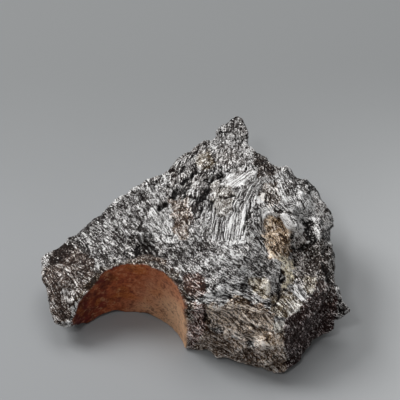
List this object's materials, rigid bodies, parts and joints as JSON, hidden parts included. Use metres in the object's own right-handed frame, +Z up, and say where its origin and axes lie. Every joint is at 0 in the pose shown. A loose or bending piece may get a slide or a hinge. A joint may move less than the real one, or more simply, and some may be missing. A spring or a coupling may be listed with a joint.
{
  "type": "raw nuummite",
  "caption": "Rough lump of fibrous stone with a thin arm, a high right lobe, half of a drilled round notch in its near side and a flat cleavage face to lie on.",
  "frame": {"origin": "on the surface that the stone lies on, under the middle of its bounding box", "axes": "+Z up from the flat cleavage face, +X along the stone from the thin arm to the thick lobe, -Y towards the drilled notch"},
  "size_m": [0.0653, 0.0567, 0.0259],
  "materials": {
    "nuummite": "broken charcoal stone with silky silver fibres, rust and ochre stains, and a smooth brown to tan drilled wall"
  },
  "bodies": {
    "root": {"nuummite": "nuummite"}
  },
  "joints": []
}
